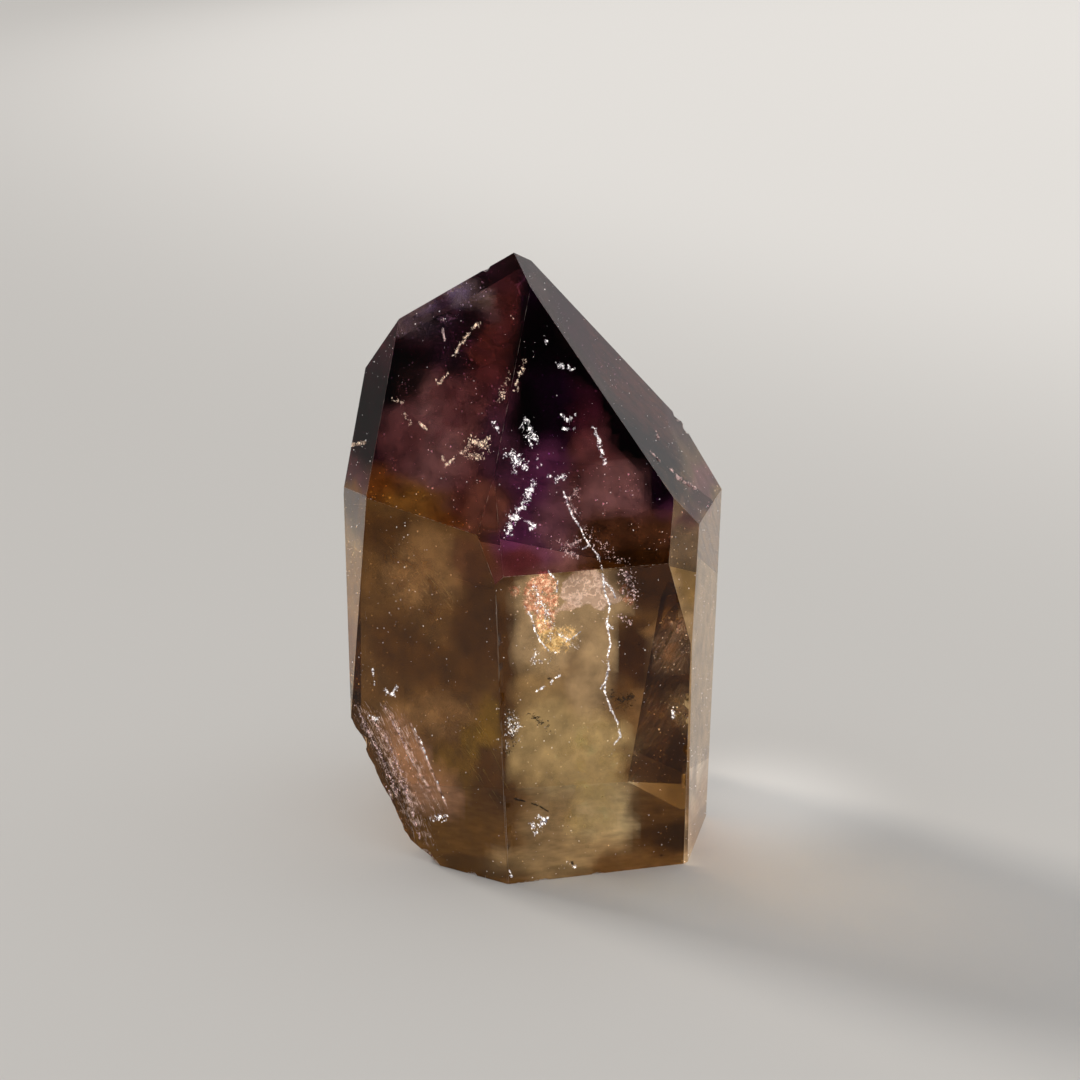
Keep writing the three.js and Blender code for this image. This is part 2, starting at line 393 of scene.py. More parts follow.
# the clouds of each group of facets, painted in this order:
# frame point, half width and half height in mm, lean in degrees, colour, strength
CLOUDS = {
    "crown": [  # crown, left facet
        (498, 270, 5, 3, 0, "plum", 0.9), (460, 290, 5, 3, 35, "fog", 0.85),
        (416, 312, 5, 4.5, 35, "fog", 0.6), (440, 312, 3, 3, 35, "plum", 0.7),
        (508, 320, 4, 9, 6, "maroon", 1.0), (490, 368, 6, 7, 15, "maroon", 1.0),
        (452, 350, 4, 6, 25, "plum", 0.9), (428, 345, 3.5, 6, 25, "black violet", 0.8),
        (393, 375, 6.5, 8, 20, "deep plum", 1.0), (388, 385, 4.5, 6, 20, "black violet", 0.8),
        (372, 440, 4, 7, 0, "deep plum", 0.9), (432, 418, 7, 6, 25, "mauve", 0.95),
        (460, 400, 5, 5, 25, "rose", 0.8), (408, 445, 4, 5, 0, "rose", 0.9),
        (446, 465, 6, 4.5, 0, "mauve", 0.7), (378, 488, 5, 3, 0, "amber", 1.0),
        (415, 504, 6, 3.2, -8, "honey", 0.9), (455, 521, 5, 3.2, -10, "amber", 1.0),
        (476, 490, 5, 4, 0, "maroon", 0.6), (465, 325, 3, 5, 25, "deep plum", 0.7),
        (377, 388, 3, 5, 20, "black", 0.7), (402, 402, 2, 2.4, 25, "rose", 0.7),
        (486, 518, 3.2, 5, 0, "terracotta", 0.8), (466, 536, 3, 2.4, 0, "terracotta", 0.8),
        (492, 545, 4, 4, 0, "brown", 0.9), (502, 440, 3.5, 8, 0, "plum", 0.9),
        # crown, right facet
        (538, 300, 4, 8, -8, "black violet", 1.0), (548, 350, 6, 10, -8, "black", 1.0),
        (529, 415, 3.6, 9, 4, "black", 1.0), (556, 410, 4.5, 8, 0, "black violet", 1.0),
        (588, 424, 3.2, 7, 0, "maroon", 1.0), (600, 462, 4.2, 6, -12, "rose", 1.0),
        (616, 494, 6, 4, -12, "mauve", 0.95), (600, 382, 3.7, 10, -33, "black", 1.0),
        (636, 446, 3.6, 10, -36, "black", 1.0), (580, 408, 2.0, 5, -20, "deep plum", 0.7),
        (551, 448, 2.6, 3.4, 0, "black violet", 0.7), (664, 492, 3, 5, -36, "black violet", 1.0),
        (674, 512, 3, 3, -36, "violet", 0.9), (540, 482, 5, 6, 0, "violet", 1.0),
        (532, 530, 6, 5.5, 0, "violet", 1.0), (560, 520, 4, 6, 0, "mauve", 0.5),
        (562, 556, 7, 3, 0, "mauve", 0.4), (528, 558, 5, 3, 0, "violet", 0.6),
        (592, 566, 4, 2, 0, "brown", 0.8), (516, 566, 3, 2.6, 0, "maroon", 0.9),
        (600, 534, 5, 4, 0, "brown", 0.95), (645, 536, 7, 4, -8, "brown", 1.0),
        (640, 562, 12, 3, -4, "dark umber", 1.0),
    ],
    "body": [  # body, front left facet
        (380, 528, 6, 4, 0, "umber", 0.9), (432, 562, 6, 6, 15, "pale brown", 0.95),
        (402, 584, 3.6, 3.6, 30, "pale brown", 0.9), (472, 560, 4, 5, 0, "brown", 0.9),
        (482, 625, 4.5, 11, 5, "dark umber", 0.75), (400, 650, 6, 6, 20, "umber", 0.95),
        (446, 665, 6, 4, 20, "umber", 0.85), (440, 716, 6, 4, -15, "pale brown", 0.85),
        (402, 716, 4, 4, 0, "pale brown", 0.6), (480, 733, 2.2, 7, 25, "olive", 0.95),
        (450, 772, 4, 4.5, 20, "olive", 0.6), (490, 782, 3.6, 7, 20, "umber", 1.0),
        (452, 830, 12, 9, 0, "bronze", 0.9), (412, 764, 3.4, 9, -26, "silk", 0.95),
        (444, 792, 3, 5, -20, "silk", 0.7),
        # body, front right facet
        (508, 636, 2.4, 14, 0, "dark umber", 1.0), (574, 645, 1.8, 4.5, 0, "dark umber", 0.85),
        (535, 600, 5, 5, 0, "sand", 0.9), (580, 610, 6, 5, 0, "sand", 0.8),
        (545, 690, 5, 6, 0, "khaki", 0.9), (545, 745, 7, 8, 0, "straw", 0.85),
        (598, 700, 4.6, 9, 0, "sand", 0.9), (596, 760, 9, 9, -10, "straw", 1.0),
        (560, 815, 7, 5, 0, "khaki", 0.9), (606, 812, 6.5, 6, 0, "straw", 1.0),
        (560, 858, 12, 4, 0, "khaki", 1.0), (548, 645, 6, 6, 0, "sand", 1.0),
        (596, 592, 7, 5, 0, "sand", 1.0), (657, 806, 4.6, 6, 0, "umber", 0.9),
        (635, 862, 9, 3, 0, "tan brown", 0.9), (650, 574, 8, 4, 0, "dark umber", 1.0),
        (650, 592, 6, 3, 0, "dark umber", 0.95), (634, 655, 5.5, 7, 6, "dark umber", 1.0),
        (676, 648, 3.4, 4, 10, "sand", 1.0), (664, 626, 3, 2, 0, "pale brown", 0.8),
        (641, 680, 2.6, 6, 0, "dark umber", 1.0), (600, 652, 2.6, 5, 0, "sand", 1.0),
        (634, 706, 4.5, 4.5, 0, "tan brown", 0.8), (658, 710, 4, 4, 0, "pale brown", 0.8),
        (680, 708, 2.2, 4, 0, "straw", 0.9), (648, 766, 5.5, 5, 0, "tan brown", 1.0),
        (676, 770, 3, 8, 0, "umber", 0.9), (668, 835, 5, 6, 0, "umber", 0.95),
        (504, 690, 1.3, 20, 0, "umber", 1.0),
    ],
    "left": [  # the narrow left facets
        (366, 420, 7, 13, 8, "deep plum", 1.0), (358, 474, 5, 3.0, 0, "rose", 0.9),
        (356, 500, 5, 2.6, 0, "honey", 0.7),
    ],
    "right": [  # the right facets
        (580, 318, 3, 9, -40, "plum", 0.8), (650, 440, 3.4, 12, -38, "black violet", 0.9),
        (628, 378, 3, 16, -42, "rose", 0.8), (684, 520, 3, 3, 0, "rose", 0.9),
        (684, 548, 3, 4, 0, "khaki", 0.9), (704, 486, 4, 3, 0, "mauve", 0.9),
        (689, 800, 1.6, 10, 0, "tan brown", 0.8), (702, 806, 5, 9, 0, "pale brown", 1.0),
        (596, 335, 5, 10, -38, "plum", 0.6), (684, 588, 2.2, 5, 0, "olive", 0.8),
    ],
}
CLOUD_DEPTH = 16.0  # half depth of a cloud in mm, so that it stays on the side it is seen on
CLOUD_CORE, CLOUD_EDGE = 0.5, 0.65  # shares of its size: a cloud's even middle, and its soft edge
SHADED_BEHIND = ("black", "deep plum")  # clouds that shade the place where their light entered
print(sum(map(len, CLOUDS.values())), "colour clouds in", len(PALETTE), "colours")

# %% Where each corner of the stone lies
RUFFLE = ((6.0, 2.0), (2.5, 1.1))  # grain and push of the noises that ruffle a cloud's edge, in mm
GROUND = {  # the tints between the clouds, low and high on the stone
    "crown": ("8C5A60", "8C5A60"),
    "body": ("8A673A", "8A673A"),
    "left": ("FADA96", "6C3850"),
    "right": ("F4DAB2", "8C7C8E"),
    "behind": ("EBDBC0", "CAB0C0"),
    "foot": ("F7F3ED", "F7F3ED"),
}
VIOLET_FROM, VIOLET_TO = 53.0, 64.0  # heights in mm between which the stone turns violet
SIDE_TURN = 0.55, -0.7  # a front facet is on the right or left where its normal passes these in X


def smooth(share):
    """Eases a share from 0 to 1, as a soft brush does."""
    share = numpy.clip(share, 0, 1)
    return share * share * (3 - 2 * share)


def rgb(code):
    return numpy.array(linear(code)[:3])


def ruffled(place):
    """A place in mm, pushed a little by noise."""
    push = Vector()
    for grain, strength in RUFFLE:
        push += noise.noise_vector(Vector(place) / grain) * strength
    return Vector(place) + push


corner_verts = numpy.empty(len(stone_mesh.loops), dtype=numpy.int32)
stone_mesh.loops.foreach_get("vertex_index", corner_verts)
vert_places = numpy.array([ruffled(vert.co / MM) for vert in stone_mesh.vertices])
places = vert_places[corner_verts]
flag_of = {}
for name in ("crown", "behind", "foot"):
    flags = numpy.empty(len(stone_mesh.polygons))
    stone_mesh.attributes[name].data.foreach_get("value", flags)
    flag_of[name] = numpy.repeat(flags, 3)[:, None] > 0
normals = numpy.empty(len(stone_mesh.polygons) * 3)
stone_mesh.polygons.foreach_get("normal", normals)
facing_right = numpy.repeat(normals[::3], 3)[:, None]
front = ~flag_of["behind"]
right, left = front & (facing_right > SIDE_TURN[0]), front & (facing_right < SIDE_TURN[1])
middle = front & ~right & ~left
share_of = {"right": right, "left": left, "crown": middle & flag_of["crown"],
            "body": middle & ~flag_of["crown"], "foot": flag_of["foot"],
            "behind": flag_of["behind"] & ~flag_of["foot"]}
print("corners per zone:", {zone: int(share.sum()) for zone, share in share_of.items()})

# %% Paint the clouds
high = smooth((places[:, 2:] - VIOLET_FROM) / (VIOLET_TO - VIOLET_FROM))
paint = sum(share * (rgb(GROUND[zone][0]) * (1 - high) + rgb(GROUND[zone][1]) * high)
            for zone, share in share_of.items())
share_of["behind"] = flag_of["behind"]


def dab(paint, where, centre, radii, lean, colour, strength):
    """The paint with one soft ball of colour laid over it."""
    turn = numpy.array(Matrix.Rotation(math.radians(lean), 3, "Y"))
    local = ((places - numpy.array(centre) / MM) @ turn) / numpy.array(radii)
    reach = numpy.linalg.norm(local, axis=1, keepdims=True)
    cover = smooth((CLOUD_CORE + CLOUD_EDGE - reach) / CLOUD_EDGE) * strength * share_of[where]
    return paint * (1 - cover) + rgb(PALETTE[colour]) * cover


for zone, clouds in CLOUDS.items():
    for u, v, wide, tall, lean, colour, strength in clouds:
        paint = dab(paint, zone, seen(u, v), (wide, CLOUD_DEPTH, tall), lean, colour, strength)
        if colour in SHADED_BEHIND:
            radii = ((wide + tall) / 2,) * 3
            paint = dab(paint, "behind", far_end(u, v), radii, 0, "shade", strength)
rgba = numpy.ones((len(paint), 4), dtype=numpy.float32)
rgba[:, :3] = paint ** 2  # a clear material tints light by the root of its colour at each crossing
tints = stone_mesh.color_attributes.new("tint", "FLOAT_COLOR", "CORNER")
tints.data.foreach_set("color", rgba.ravel())
print("painted", len(paint), "corners")

# %% [markdown]
# ## Quartz
# Quartz bends light with an index near 1.55. Its polished facets are mirror smooth. The rough flank
# scatters, so it looks like frosted glass with silky streaks that run along the grown ledges, and
# the foot is only ground. Two more things are physical: a grey brown absorption, which makes long
# ways through the stone darker than short ones, and a see-through answer to shadow rays, so that
# lamps shine through the stone onto the floor instead of leaving it black.

# %% Quartz: colour
MOTTLE = 3 * MM  # grain of a fine mottle over all
LEDGE_LEAN = 33  # degrees of the grown ledges from upright
STREAK = (0.5, 0.8, 6)  # size in mm of a silky streak, which is drawn out along the ledges

quartz, tree = new_material("polished_smoky_amethyst_quartz")
coordinates = add(tree, "ShaderNodeTexCoord").outputs["Object"]
painted = add(tree, "ShaderNodeAttribute", attribute_name="tint").outputs["Color"]
is_rough, is_foot = [add(tree, "ShaderNodeAttribute", attribute_name=name).outputs["Fac"]
                     for name in ("rough", "foot")]
mottle = add(tree, "ShaderNodeTexNoise",
             {"Vector": coordinates, "Scale": 1 / MOTTLE, "Detail": 6.0})
mottle = add(tree, "ShaderNodeMapRange", {"Value": mottle, "From Min": 0.3, "From Max": 0.7,
                                          "To Min": 0.6, "To Max": 1.4})
mottled = add(tree, "ShaderNodeVectorMath", {0: painted, 1: mottle}, operation="MULTIPLY")
along_ledges = add(tree, "ShaderNodeMapping", {
    "Vector": coordinates, "Rotation": (0, math.radians(LEDGE_LEAN), 0),
    "Scale": [1 / (size * MM) for size in STREAK]})
silk = add(tree, "ShaderNodeTexNoise", {"Vector": along_ledges, "Scale": 1.0, "Detail": 6.0})
silk = add(tree, "ShaderNodeMapRange", {"Value": silk, "From Min": 0.48, "From Max": 0.66})
streak = add(tree, "ShaderNodeMath", {0: silk, 1: is_rough}, operation="MULTIPLY")
tint = add(tree, "ShaderNodeMix", {0: streak, 6: mottled, 7: linear("F0DDD2")},
           data_type="RGBA").outputs[2]
print("quartz tree so far:", len(tree.nodes), "nodes")

# %% Quartz: surface and inside
FOOT_SCATTER = 0.55  # share of the light that the ground foot scatters
STREAK_SCATTER = 0.75  # share that a silky streak scatters
FROSTED = 0.4  # roughness where the stone isn't polished
MIRROR = "AAAAAA"  # how much of the room the facets mirror
ABSORPTION = "ECE6E2"
ABSORPTION_DENSITY = 30.0  # per metre
SHADOW_LIGHT = "B8C2CC"  # light left in the shadow

foot_dull = add(tree, "ShaderNodeMath", {0: is_foot, 1: FOOT_SCATTER}, operation="MULTIPLY")
streak_dull = add(tree, "ShaderNodeMath", {0: streak, 1: STREAK_SCATTER}, operation="MULTIPLY")
dull = add(tree, "ShaderNodeMath", {0: foot_dull, 1: streak_dull}, operation="MAXIMUM")
clear = add(tree, "ShaderNodeMath", {0: 1.0, 1: dull}, operation="SUBTRACT")
unpolished = add(tree, "ShaderNodeMath", {0: is_rough, 1: is_foot}, operation="MAXIMUM")
polish = add(tree, "ShaderNodeMapRange", {"Value": unpolished, "To Max": FROSTED})
body = add(tree, "ShaderNodeBsdfPrincipled", {
    "Base Color": tint, "Roughness": polish, "IOR": QUARTZ_IOR, "Transmission Weight": clear,
    "Specular Tint": linear(MIRROR)})
absorb = add(tree, "ShaderNodeVolumeAbsorption",
             {"Color": linear(ABSORPTION), "Density": ABSORPTION_DENSITY})
shadow_ray = add(tree, "ShaderNodeLightPath").outputs["Is Shadow Ray"]
let_through = add(tree, "ShaderNodeBsdfTransparent", {"Color": linear(SHADOW_LIGHT)})
either = add(tree, "ShaderNodeMixShader", {0: shadow_ray, 1: body, 2: let_through})
add(tree, "ShaderNodeOutputMaterial", {"Surface": either, "Volume": absorb})
stone_mesh.materials.append(quartz)
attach(stone, "root")
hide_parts("quartz_point")
print("quartz tree:", len(tree.nodes), "nodes")

# %% [markdown]
# ## Trails for the flecks
# Pale flecks lie all through the stone: crumbs of healed cracks and of included minerals. They look
# scattered, but each group follows a trail. So each trail is drawn once, as a few frame points with
# a depth and a half width, and a Geometry Nodes tree fills it with crumbs. Modelling each crumb by
# hand would take days, and a plain random scatter would lose the groups that one recognises.

# %% Helper: trails as a mesh of edges
def trail_mesh(name, trails):
    """Edges through the places of each trail, with a spread in metres stored on every vertex."""
    places, edges, spreads = [], [], []
    for points, depth, spread in trails:
        start = len(places)
        for place in filter(None, (seen(u, v, depth) for u, v in points)):
            places.append(place)
            spreads.append(spread * MM)
        edges += [(i, i + 1) for i in range(start, len(places) - 1)]
    mesh = bpy.data.meshes.new(name)
    mesh.from_pydata(places, edges, [])
    mesh.attributes.new("spread", "FLOAT", "POINT").data.foreach_set("value", spreads)
    return mesh


print("trails can be drawn")

# %% Helpers: pieces
def ridden(name, mesh):
    """Puts a finished mesh into the scene as a piece of the stone's body."""
    piece = in_scene(name, mesh)
    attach(piece, "root")
    print(name + ":", len(mesh.polygons), "faces")


def applied(name, carrier, tree, **values):
    """Makes the piece that a tree grows on a carrier mesh with these input values."""
    maker = in_scene(name + "_maker", carrier)
    modifier = maker.modifiers.new("nodes", "NODES")
    modifier.node_group = tree
    for item in tree.interface.items_tree:
        if item.item_type == "SOCKET" and item.in_out == "INPUT" and item.name in values:
            modifier[item.identifier] = values[item.name]
    evaluated = maker.evaluated_get(bpy.context.evaluated_depsgraph_get())
    mesh = bpy.data.meshes.new_from_object(evaluated)
    mesh.name = name
    bpy.data.objects.remove(maker)
    ridden(name, mesh)


print("meshes can become pieces")

# %% Helpers: Geometry Nodes trees
ANY_WAY = {0: (-1, -1, -1), 1: (1, 1, 1)}  # limits of a random direction
FULL_TURN = {0: (0, 0, 0), 1: (6.28, 6.28, 6.28)}  # limits of a random rotation, in radians


def node_tree(name, inputs):
    """An empty tree with inputs of these kinds, its input sockets and its geometry output."""
    tree = bpy.data.node_groups.new(name, "GeometryNodeTree")
    sockets = tree.interface
    sockets.new_socket(name="Geometry", in_out="INPUT", socket_type="NodeSocketGeometry")
    sockets.new_socket(name="Geometry", in_out="OUTPUT", socket_type="NodeSocketGeometry")
    for label, kind in {**inputs, "Seed": "Int", "Material": "Material"}.items():
        sockets.new_socket(name=label, in_out="INPUT", socket_type="NodeSocket" + kind)
    given, out = tree.nodes.new("NodeGroupInput"), tree.nodes.new("NodeGroupOutput")
    return tree, given.outputs, out.inputs[0]


def points_on_trails(tree, given):
    """Copies of points along the trails, and at each the heading, a spread and a random way."""
    curve = add(tree, "GeometryNodeMeshToCurve", {0: given["Geometry"]})
    points = add(tree, "GeometryNodeCurveToPoints", {0: curve, "Length": given["Spacing"]},
                 mode="LENGTH")
    kept = add(tree, "GeometryNodeCaptureAttribute", {0: points}, domain="POINT")
    kept.capture_items.new("VECTOR", "heading")
    tree.links.new(points.outputs["Tangent"], kept.inputs[1])
    copies = add(tree, "GeometryNodeDuplicateElements", {0: kept, "Amount": given["Copies"]},
                 domain="POINT")
    spread = add(tree, "GeometryNodeInputNamedAttribute", {"Name": "spread"}, data_type="FLOAT")
    wander = add(tree, "FunctionNodeRandomValue", {**ANY_WAY, "Seed": given["Seed"]},
                 data_type="FLOAT_VECTOR")
    return copies, kept.outputs[1], spread, wander


def end_tree(tree, instances, given, out):
    """Makes the instances real, because the export drops them, and coats them."""
    real = add(tree, "GeometryNodeRealizeInstances", {0: instances})
    coated = add(tree, "GeometryNodeSetMaterial", {0: real, "Material": given["Material"]})
    tree.links.new(coated.outputs[0], out)
    print(tree.name + ":", len(tree.nodes), "nodes")


def onto_facets(tree, points, given, chosen=True):
    """The points, with the chosen ones moved to the nearest place on the stone's facets."""
    facets = add(tree, "GeometryNodeObjectInfo", {"Object": given["Stone"]}).outputs["Geometry"]
    nearest = add(tree, "GeometryNodeProximity", {0: facets}, target_element="FACES")
    return add(tree, "GeometryNodeSetPosition", {
        "Geometry": points, "Selection": chosen, "Position": nearest.outputs["Position"]})


print("trees can be built")

# %% [markdown]
# ## The crumb tree
# The tree turns each trail into a curve, sets points along it, copies each point a few times and
# strews the copies inside the spread. A noise then takes away whole stretches, because a healed
# crack shows only where gas is left in it. Each point that stays gets a crumb: a torn shard, or a
# small curl. Both have few faces, because they are repeated by the thousand. Cracks that reach a
# facet are cut open by the lap. Their crumbs are moved to the nearest place on it, where no colour
# lies over them, so they stay white even on the darkest zones.

# %% Geometry Nodes: places of the crumbs
GAP_GRAIN = 0.9 * MM  # length of the bare and the full stretches
crumb_tree, given, out = node_tree("crumbs_along_trails", {
    "Spacing": "Float", "Copies": "Int", "Crumb": "Float", "Curls": "Float", "Gaps": "Float",
    "Stone": "Object", "Open": "Bool"})  # Curls and Gaps are shares, Open is open at the facet
tree = crumb_tree
copies, _, spread, wander = points_on_trails(tree, given)
closer = add(tree, "FunctionNodeRandomValue", {2: 0.0, 3: 1.0, "Seed": 5}, data_type="FLOAT")
throw = add(tree, "ShaderNodeMath", {0: spread, 1: closer.outputs[1]}, operation="MULTIPLY")
offset = add(tree, "ShaderNodeVectorMath", {0: wander, "Scale": throw}, operation="SCALE")
strewn = add(tree, "GeometryNodeSetPosition", {0: copies, "Offset": offset})
here = add(tree, "GeometryNodeInputPosition")
gaps = add(tree, "ShaderNodeTexNoise", {"Vector": here, "Scale": 1 / GAP_GRAIN, "Detail": 3.0})
bare = add(tree, "FunctionNodeCompare", {0: gaps, 1: given["Gaps"]}, data_type="FLOAT",
           operation="LESS_THAN")
strewn = add(tree, "GeometryNodeDeleteGeometry", {0: strewn, 1: bare}, domain="POINT")
strewn = onto_facets(tree, strewn, given, given["Open"])
print("places of the crumbs:", len(tree.nodes), "nodes")

# %% Geometry Nodes: shards and curls
# The shapes are about 1 unit across, and each is scaled by Crumb.
TORN = 0.25  # how far a shard's corners are torn
STRETCH = {0: (0.4, 0.3, 0.2), 1: (1.3, 0.9, 0.5)}  # flattest and fullest proportions of a crumb
RARITY = 2.6  # the higher, the rarer a large crumb

ball = add(tree, "GeometryNodeMeshIcoSphere", {"Radius": 0.5, "Subdivisions": 1})
torn = add(tree, "FunctionNodeRandomValue", {0: (-TORN,) * 3, 1: (TORN,) * 3, "Seed": 2},
           data_type="FLOAT_VECTOR")
shard = add(tree, "GeometryNodeSetPosition", {0: ball, "Offset": torn})
arc = add(tree, "GeometryNodeCurveArc", {"Resolution": 7, "Radius": 0.7, "Sweep Angle": 4.0})
wire = add(tree, "GeometryNodeCurvePrimitiveCircle", {"Resolution": 3, "Radius": 0.16})
curl = add(tree, "GeometryNodeCurveToMesh", {0: arc, 1: wire, "Fill Caps": True})
turn = add(tree, "FunctionNodeRandomValue", {**FULL_TURN, "Seed": 8}, data_type="FLOAT_VECTOR")
stretch = add(tree, "FunctionNodeRandomValue", {**STRETCH, "Seed": 13}, data_type="FLOAT_VECTOR")
odds = add(tree, "FunctionNodeRandomValue", {2: 0.3, 3: 1.25, "Seed": 34}, data_type="FLOAT")
rarely_large = add(tree, "ShaderNodeMath", {0: odds.outputs[1], 1: RARITY}, operation="POWER")
size = add(tree, "ShaderNodeMath", {0: rarely_large, 1: given["Crumb"]}, operation="MULTIPLY")
scale = add(tree, "ShaderNodeVectorMath", {0: stretch, "Scale": size}, operation="SCALE")
curly = add(tree, "FunctionNodeRandomValue", {"Probability": given["Curls"], "Seed": 21},
            data_type="BOOLEAN").outputs[3]
straight = add(tree, "FunctionNodeBooleanMath", {0: curly}, operation="NOT")
crumbs = add(tree, "GeometryNodeJoinGeometry")
for crumb, chosen in ((shard, straight), (curl, curly)):
    placed = add(tree, "GeometryNodeInstanceOnPoints", {
        "Points": strewn, "Selection": chosen, "Instance": crumb, "Rotation": turn, "Scale": scale})
    tree.links.new(placed.outputs[0], crumbs.inputs[0])
end_tree(tree, crumbs, given, out)

# %% [markdown]
# ## Healed cracks and crumbs
# The flecks are films of gas in healed cracks. They mirror light that comes from all round inside
# the stone, so they look brighter than anything lit from one side. A little glow in the material
# stands for that. It varies from crumb to crumb, which makes them glint.

# %% Fleck material
def end_glowing(tree, colour, roughness, glow, **more):
    """Ends a material in a shader whose colour also glows, as painted light that no lamp gives."""
    shader = add(tree, "ShaderNodeBsdfPrincipled", {
        "Base Color": colour, "Roughness": roughness,
        "Emission Color": colour, "Emission Strength": glow, **more})
    add(tree, "ShaderNodeOutputMaterial", {"Surface": shader})


def glinting(name, dull, bright, glow, patch=0.35):
    """A pale mineral whose colour and glow change from crumb to crumb, over patch mm. The glow is
    painted light for the light that it mirrors, and the bright crumbs are painted glints.
    """
    material, tree = new_material(name)
    place = add(tree, "ShaderNodeTexCoord").outputs["Object"]
    change = add(tree, "ShaderNodeTexNoise",
                 {"Vector": place, "Scale": 1 / (patch * MM), "Detail": 2.0})
    share = add(tree, "ShaderNodeMapRange", {"Value": change, "From Min": 0.35, "From Max": 0.62})
    colour = add(tree, "ShaderNodeMix", {0: share, 6: linear(dull), 7: linear(bright)},
                 data_type="RGBA").outputs[2]
    power = add(tree, "ShaderNodeMath", {0: share, 1: glow}, operation="MULTIPLY")
    end_glowing(tree, colour, 0.35, power)
    return material


white_film = glinting("gas_film_white", "8C8290", "FFFBF6", 1.15)
cream_film = glinting("gas_film_cream", "84604E", "F2DCC4", 0.75)
rose_film = glinting("gas_film_rose", "6E4A50", "EED2CC", 0.65)
print("films:", white_film.name, cream_film.name, rose_film.name)

# %% Flecks of the crown
# frame points of the trail, depth in mm, half width in mm
CROWN_WHITE = [
    ([(506, 452), (515, 458), (524, 466)], 1.5, 1.1),
    ([(504, 456), (518, 462), (522, 470)], 1.5, 0.8),
    ([(516, 458), (511, 472)], 1.5, 0.9),
    ([(520, 424), (530, 446)], 1.8, 0.7),
    ([(523, 418), (535, 442)], 1.8, 0.5),
    ([(533, 457), (541, 462), (536, 467)], 1.4, 0.25),
    ([(548, 476), (556, 480), (567, 474)], 1.3, 0.5),
    ([(557, 365), (570, 370)], 1.3, 0.55),
    ([(560, 416), (566, 421), (576, 414)], 1.6, 0.3),
    ([(560, 430), (573, 428)], 1.6, 0.3),
    ([(591, 427), (597, 440), (604, 464)], 1.4, 0.4),
    ([(533, 482), (524, 500), (512, 516), (505, 535)], 1.6, 0.8),
    ([(529, 488), (520, 510), (508, 530)], 1.6, 0.6),
    ([(521, 507), (508, 519)], 1.6, 0.6),
    ([(524, 521), (534, 526), (527, 530)], 1.5, 0.35),
    ([(497, 424), (503, 432)], 1.5, 0.5),
    ([(543, 333), (545, 343)], 1.0, 0.2),
]
CROWN_CREAM = [
    ([(525, 362), (519, 374), (511, 385), (503, 400)], 1.4, 0.75),
    ([(511, 384), (504, 398)], 1.4, 0.7),
    ([(480, 324), (470, 336), (462, 346), (455, 357)], 1.2, 0.45),
    ([(436, 380), (441, 385), (449, 374)], 1.0, 0.25),
    ([(470, 450), (482, 444), (490, 450)], 2.2, 1.3),
    ([(474, 440), (484, 446), (494, 440)], 2.2, 1.2),
    ([(465, 455), (487, 458)], 2.2, 0.8),
    ([(445, 457), (449, 466), (456, 460)], 1.4, 0.4),
    ([(395, 400), (404, 403)], 1.2, 0.5),
    ([(407, 414), (413, 424), (408, 424)], 1.2, 0.4),
    ([(422, 424), (430, 431)], 1.2, 0.25),
    ([(513, 312), (514, 319)], 1.0, 0.35),
    ([(483, 268), (490, 274)], 0.3, 0.4),
    ([(353, 445), (366, 443)], 0.8, 0.3),
]
CROWN_ROSE = [
    ([(552, 542), (566, 548), (578, 540)], 1.4, 0.9),
    ([(560, 552), (575, 556)], 1.4, 0.7),
    ([(431, 324), (432, 325)], 0.6, 0.2),
    ([(443, 321), (444, 323)], 0.6, 0.2),
    ([(444, 330), (447, 345)], 0.8, 0.15),
    ([(656, 432), (658, 440)], 0.5, 0.2),
    ([(650, 452), (660, 462)], 0.5, 0.25),
    ([(668, 468), (684, 482)], 0.5, 0.45),
    ([(676, 478), (694, 488)], 0.5, 0.4),
]
fill = dict(Spacing=0.11 * MM, Copies=10, Curls=0.45, Gaps=0.5, Seed=3, Stone=stone, Open=True)


def strew(name, trails, film, size, **changes):
    """Crumbs of size mm along the trails, with the usual fill but for the changes."""
    values = {**fill, "Crumb": size * MM, "Material": film, **changes}
    applied(name, trail_mesh(name, trails), crumb_tree, **values)


strew("crown_flecks_white", CROWN_WHITE, white_film, 0.27)
strew("crown_flecks_cream", CROWN_CREAM, cream_film, 0.27)
strew("crown_flecks_rose", CROWN_ROSE, rose_film, 0.27)

# %% [markdown]
# ## Silk
# Where a crack runs along the grown ledges it shows as silk: long fine threads, all lying one way.
# The tree is the crumb tree's sister. It keeps each trail's own direction and lays a thread of
# three sides along it.

# %% Geometry Nodes: threads along a trail
WAVER = 0.07  # how far a thread strays from its trail's direction
silk_tree, given, out = node_tree("threads_along_trails", {
    "Spacing": "Float", "Copies": "Int", "Length": "Float", "Thickness": "Float",
    "Stone": "Object"})
tree = silk_tree
copies, heading, spread, wander = points_on_trails(tree, given)
offset = add(tree, "ShaderNodeVectorMath", {0: wander, "Scale": spread}, operation="SCALE")
strewn = add(tree, "GeometryNodeSetPosition", {0: copies, "Offset": offset})
strewn = onto_facets(tree, strewn, given)
waver = add(tree, "FunctionNodeRandomValue", {0: (-WAVER,) * 3, 1: (WAVER,) * 3, "Seed": 6},
            data_type="FLOAT_VECTOR")
aim = add(tree, "ShaderNodeVectorMath", {0: heading, 1: waver}, operation="ADD")
turned = add(tree, "FunctionNodeAlignRotationToVector", {"Vector": aim}, axis="Z")
thread = add(tree, "GeometryNodeMeshCone", {
    "Vertices": 3, "Radius Top": 0.0, "Radius Bottom": given["Thickness"],
    "Depth": given["Length"]})
odds = add(tree, "FunctionNodeRandomValue", {2: 0.2, 3: 1.0, "Seed": 4}, data_type="FLOAT")
placed = add(tree, "GeometryNodeInstanceOnPoints", {
    "Points": strewn, "Instance": thread, "Rotation": turned, "Scale": odds.outputs[1]})
end_tree(tree, placed, given, out)

